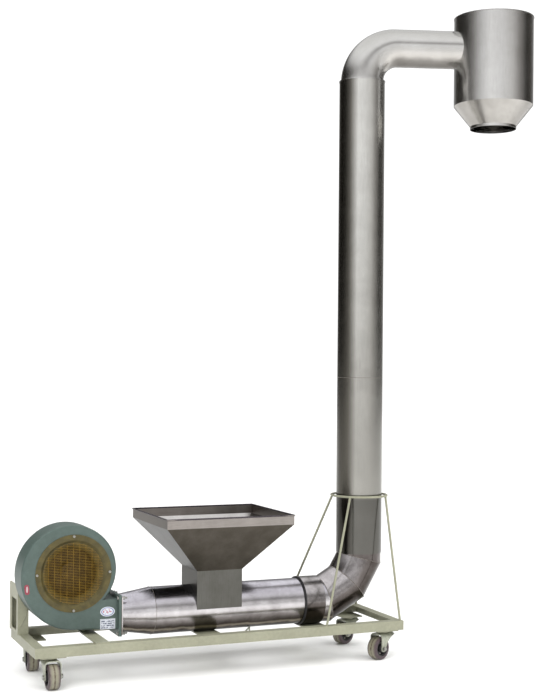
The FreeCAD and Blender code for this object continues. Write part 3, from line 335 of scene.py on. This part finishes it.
# zinc plate: blotchy brown and gold where it is passivated, plain grey where it is not
yellowZinc = plain("yellowPassivatedZinc", ("#433d22", "#564d2a"), 0.3, 0.48, 30.0)
amberWire = plain("amberZincWire", ("#7a5f22", "#98782e"), 0.5, 0.45, 30.0)
brightZinc = plain("brightZinc", ("#8a8a86", "#a5a49e"), 0.9, 0.35)
dullZinc = plain("dullZincPressing", ("#8f9284", "#a6a899"), 0.3, 0.45, 10.0)
# bare steel: dark brown as painted shade inside the blower, pale where it is ground
darkSteel = plain("shadeDarkenedSteel", ("#2a2114", "#46361c"), 0.4, 0.55)
bareSteel = plain("groundSteel", ("#8f8f8f", "#a5a5a5"), 1.0, 0.3)
# rubber and moulded nylon, which take no shine
blackRubber = plain("blackRubber", ("#161516", "#232223"), 0.0, 0.7)
redRubber = plain("redRubber", ("#8c2b2b", "#a13636"), 0.0, 0.6)
blackPlastic = plain("blackPolyamide", ("#141414", "#202020"), 0.0, 0.5)
labelFilm = labelPrint("printedLabelFilm")
# the folded lip, coloured dark as a painted reflection of the dark side of the room, and the heat tinted,
# rippled weld
edgeSteel = plain("darkRolledEdge", ("#2b252e", "#453f46"), 0.7, 0.4, 12.0)
weldSteel = plain("weldBeadSteel", ("#6b655f", "#a19a92"), 1.0, 0.38, 5.0, 0.2)
print("materials made")


# what each piece of the frame is finished in, by the longest start of its name that matches
finishes = {
    "frame_": creamEnamel, "fan_crossbar": creamEnamel, "duct_crossbars": creamEnamel,
    "caster_plates": creamEnamel, "caster_fork_": dullZinc, "caster_axle_": brightZinc,
    "volute_casing": greenEnamel, "volute_back_cover": greenEnamel, "volute_labels": labelFilm,
    "inlet_": yellowZinc, "inlet_mesh": amberWire, "guard_screws": brightZinc, "impeller": darkSteel,
    "motor_": motorEnamel, "motor_shaft": darkSteel, "motor_fan": blackPlastic, "motor_fan_cover": motorEnamel,
    "motor_bearings": bareSteel, "motor_foot_bolts": brightZinc, "motor_stand_": creamEnamel,
    "terminal_box": motorEnamel, "cable_gland": blackPlastic, "outlet_gasket": redRubber,
    "outlet_bolts": brightZinc, "reducer_cone": ductSteel, "feed_tube": ductSteel, "injector_nozzle": ductSteel,
    "joint_gasket": blackRubber, "elbow_": elbowSteel, "elbow_inlet": ductSteel,
    "hopper_funnel": hopperSteel, "hopper_neck": neckSteel, "hopper_rim": rimSteel,
    "riser_lower": riserSteel, "riser_upper": riserSteel, "riser_stays": creamEnamel,
    "stay_ring": creamEnamel, "swivel_collar": riserSteel, "top_bend": headSteel, "head_arm": headSteel,
    "discharge_": headSteel,
}
for spot, turn in wheelValues["turns"].items():
    finishes["caster_wheel_" + spot] = castWheel("castTread_" + spot, "caster_wheel_" + spot, turn)


def finishFor(name):
    matches = [key for key in finishes if name.startswith(key)]
    return finishes[max(matches, key=len)]


for name, node in nodes.items():
    node.data.materials.clear()
    node.data.materials.append(finishFor(name))
print("finishes given to the frame")


# places from the front left corner, radius and thickness in millimetres, tilt about Y in degrees
beadValues = {
    "elbow_seam_low": {"at": (1348.5, 228, 248), "tilt": 75, "stretch": 1.035, "radius": 100.4, "thick": 1.4},
    "elbow_seam_middle": {"at": (1468, 228, 317), "tilt": 45, "stretch": 1.035, "radius": 100.4, "thick": 1.4},
    "elbow_seam_top": {"at": (1530, 228, 424.4), "tilt": 15, "stretch": 1.035, "radius": 100.4, "thick": 1.4},
    "reducer_seam": {"at": (540, 228, 248), "tilt": 90, "stretch": 1.0, "radius": 100.0, "thick": 1.0},
    "riser_seam": {"at": (1530, 228, 1240), "tilt": 0, "stretch": 1.0, "radius": 102.8, "thick": 0.8},
}
rippleValues = {"size": 6.0, "share": 0.5}    # share is how much of the bead's thickness it moves


def bead(name, values):
    # a weld bead or seam round a duct, tilted about Y and stretched across its slope
    bpy.ops.object.select_all(action="DESELECT")
    bpy.ops.mesh.primitive_torus_add(major_segments=96, minor_segments=8, major_radius=values["radius"] * mm,
                                     minor_radius=values["thick"] * mm)
    piece = bpy.context.object
    piece.name = name
    piece.scale = (values["stretch"], 1, 1)
    piece.rotation_euler = (0, math.radians(values["tilt"]), 0)
    piece.location = place(*values["at"])
    bpy.ops.object.transform_apply(location=True, rotation=True, scale=True)
    texture = bpy.data.textures.new(name + "Ripple", "CLOUDS")
    texture.noise_scale = rippleValues["size"] * mm
    ripple = piece.modifiers.new("ripple", "DISPLACE")
    ripple.texture = texture
    ripple.texture_coords = "LOCAL"
    ripple.strength = values["thick"] * mm * rippleValues["share"]
    bpy.ops.object.modifier_apply(modifier="ripple")
    bpy.ops.object.shade_smooth()
    piece.data.materials.append(weldSteel)
    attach(piece, "trolley")


for name, values in beadValues.items():
    bead(name, values)


def roundBar(name, points, radius, material, closed=False, straight=False):
    # a bent bar: a path of points given a round section, then made a mesh
    curve = bpy.data.curves.new(name, "CURVE")
    curve.dimensions = "3D"
    curve.bevel_depth = radius * mm
    curve.bevel_resolution = 3
    curve.use_fill_caps = True
    spline = curve.splines.new("NURBS")
    spline.points.add(len(points) - 1)
    for target, spot in zip(spline.points, points):
        target.co = (*place(*spot), 1.0)
    spline.order_u = 2 if straight else 3
    spline.use_endpoint_u = not closed
    spline.use_cyclic_u = closed
    piece = bpy.data.objects.new(name, curve)
    bpy.context.collection.objects.link(piece)
    bpy.ops.object.select_all(action="DESELECT")
    piece.select_set(True)
    bpy.context.view_layer.objects.active = piece
    bpy.ops.object.convert(target="MESH")
    piece = bpy.context.object
    bpy.ops.object.shade_smooth()
    piece.data.materials.append(material)
    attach(piece, "trolley")


latchValues = {
    "radius": 3.5,
    "latch_stud": [(989, 205, 150), (989, 205, 140), (989, 205, 119)],
    "latch_handle": [(989, 205, 149), (975, 205, 136), (955, 205, 120)],
}
for name in ("latch_stud", "latch_handle"):
    roundBar(name, latchValues[name], latchValues["radius"], dullZinc)

# the rolled edge runs round the hopper's top, a little in from the rim band's own box
edgeValues = {"inset": 3.0, "drop": 1.5, "radius": 3.4}
rimLow, rimHigh = [(edge - corner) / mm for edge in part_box("hopper_rim")]
left, right = rimLow.x + edgeValues["inset"], rimHigh.x - edgeValues["inset"]
front, back = rimLow.y + edgeValues["inset"], rimHigh.y - edgeValues["inset"]
edgeLoop = [(x, y, rimHigh.z - edgeValues["drop"])
            for x, y in ((left, front), (right, front), (right, back), (left, back))]
roundBar("hopper_rolled_edge", edgeLoop, edgeValues["radius"], edgeSteel, closed=True,
         straight=True)

# the rib's path is measured from the stand leg's lowest left corner, right and up
ribValues = {"path": [(42, 125), (34, 78), (18, 45), (3, 24)], "proud": 0.5, "radius": 2.0}
legLow = (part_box("motor_stand_legs")[0] - corner) / mm
ribPath = [(legLow.x + along, legLow.y - ribValues["proud"], legLow.z + up) for along, up in ribValues["path"]]
roundBar("stand_rib", ribPath, ribValues["radius"], creamEnamel)
print("welds and studs made")


floorValues = {"size": 60.0, "colour": "#fafaf9"}
# how bright the room looks to a mirror: round goes by compass bearing, where 0 and 1 are the -X side, 0.25 is
# -Y and 0.5 is +X; band goes by height, and the room fades into the ceiling above between the two fades
skyValues = {
    "seen": "#ededed", "strength": 1.35, "above": "#ffffff", "fadeFrom": 0.4, "fadeTo": 0.75,
    "round": [(0.0, "#969492"), (0.06, "#d8d8d8"), (0.13, "#ffffff"), (0.22, "#f0f0f0"), (0.31, "#d4d3d1"),
              (0.38, "#8d8a87"), (0.46, "#2a2825"), (0.54, "#474440"), (0.62, "#9c9c9c"), (0.73, "#9c9c9c"),
              (0.78, "#3b3834"), (0.86, "#22201d"), (0.93, "#3a3835"), (1.0, "#8a8886")],
    "band": [(0.0, "#ffffff"), (0.25, "#ffffff"), (0.4, "#8d8b89"), (0.6, "#ffffff"), (1.0, "#ffffff")],
}
lampTarget = (900, 228, 1000)
lampValues = [
    {"name": "keySoftbox", "at": (-2600, -3600, 4200), "size": 3.2, "power": 190.0},
    {"name": "fillSoftbox", "at": (4800, -3000, 2600), "size": 3.0, "power": 80.0},
]
skylightValues = {"tilt": (22, 8, 0), "spread": 80, "strength": 1.0}
cameraValues = {"at": (-1149.6, -5046.8, 1274.8), "turn": -23.04, "roll": 0.46, "sensor": 36.0,
                "lens": 1300 / 543 * 36, "shift": 20.7 / 543, "farthest": 200.0}


def buildFloor():
    bpy.ops.object.select_all(action="DESELECT")
    bpy.ops.mesh.primitive_circle_add(vertices=64, radius=floorValues["size"] / 2, fill_type="NGON")
    floor = bpy.context.object
    floor.name = "floor"
    material, tree, shader = newMaterial("paleStudioFloor", 0.0, 0.8)
    shader.inputs["Base Color"].default_value = srgb(floorValues["colour"])
    floor.data.materials.append(material)


def buildSky():
    # a pale room with darker gaps between the soft boxes, which only reflections see
    world = bpy.data.worlds.new("studio")
    bpy.context.scene.world = world
    world.use_nodes = True
    tree = world.node_tree
    shader = tree.nodes["Background"]
    shader.inputs["Strength"].default_value = skyValues["strength"]
    direction = add(tree, "ShaderNodeTexCoord", output="Generated")
    x, y, z = add(tree, "ShaderNodeSeparateXYZ", {"Vector": direction}).node.outputs
    bearing = add(tree, "ShaderNodeMath", {0: y, 1: x}, operation="ARCTAN2")
    bearing = add(tree, "ShaderNodeMath", {0: bearing, 1: 1 / (2 * math.pi), 2: 0.5}, operation="MULTIPLY_ADD")
    room = add(tree, "ShaderNodeValToRGB", {"Fac": bearing}, stops=skyValues["round"])
    ceiling = add(tree, "ShaderNodeMapRange", {"Value": z, "From Min": skyValues["fadeFrom"],
                                               "From Max": skyValues["fadeTo"]})
    band = add(tree, "ShaderNodeValToRGB", {"Fac": z}, stops=skyValues["band"])
    seen = add(tree, "ShaderNodeLightPath", output="Is Camera Ray")
    for factor, top, blend in ((ceiling, skyValues["above"], "MIX"), (1.0, band, "MULTIPLY"),
                               (seen, skyValues["seen"], "MIX")):
        room = add(tree, "ShaderNodeMix", {0: factor, 6: room, 7: top}, 2, data_type="RGBA", blend_type=blend)
    tree.links.new(room, shader.inputs["Color"])
    bpy.context.scene.view_settings.view_transform = "Standard"


def addLamp(name, kind):
    # reflections see the room instead of the lamps
    lamp = bpy.data.objects.new(name, bpy.data.lights.new(name, kind))
    bpy.context.collection.objects.link(lamp)
    lamp.visible_glossy = False
    return lamp


def buildLamps():
    for values in lampValues:
        lamp = addLamp(values["name"], "AREA")
        lamp.data.shape = "SQUARE"
        lamp.data.size = values["size"]
        lamp.data.energy = values["power"]
        lamp.location = place(*values["at"])
        lamp.rotation_euler = (place(*lampTarget) - lamp.location).to_track_quat("-Z", "Y").to_euler()
    skylight = addLamp("skylight", "SUN")
    skylight.data.angle = math.radians(skylightValues["spread"])
    skylight.data.energy = skylightValues["strength"]
    skylight.rotation_euler = [math.radians(value) for value in skylightValues["tilt"]]


def buildCamera():
    data = bpy.data.cameras.new("camera")
    camera = bpy.data.objects.new("camera", data)
    bpy.context.collection.objects.link(camera)
    data.sensor_fit = "HORIZONTAL"
    data.sensor_width = cameraValues["sensor"]
    data.lens = cameraValues["lens"]
    data.shift_y = cameraValues["shift"]
    data.clip_end = cameraValues["farthest"]
    look = Euler((math.radians(90), 0, math.radians(cameraValues["turn"]))).to_matrix()
    look = look @ Matrix.Rotation(math.radians(cameraValues["roll"]), 3, "Z")
    camera.matrix_world = Matrix.Translation(place(*cameraValues["at"])) @ look.to_4x4()
    bpy.context.scene.camera = camera


buildFloor()
buildSky()
buildLamps()
buildCamera()
print("stage built")
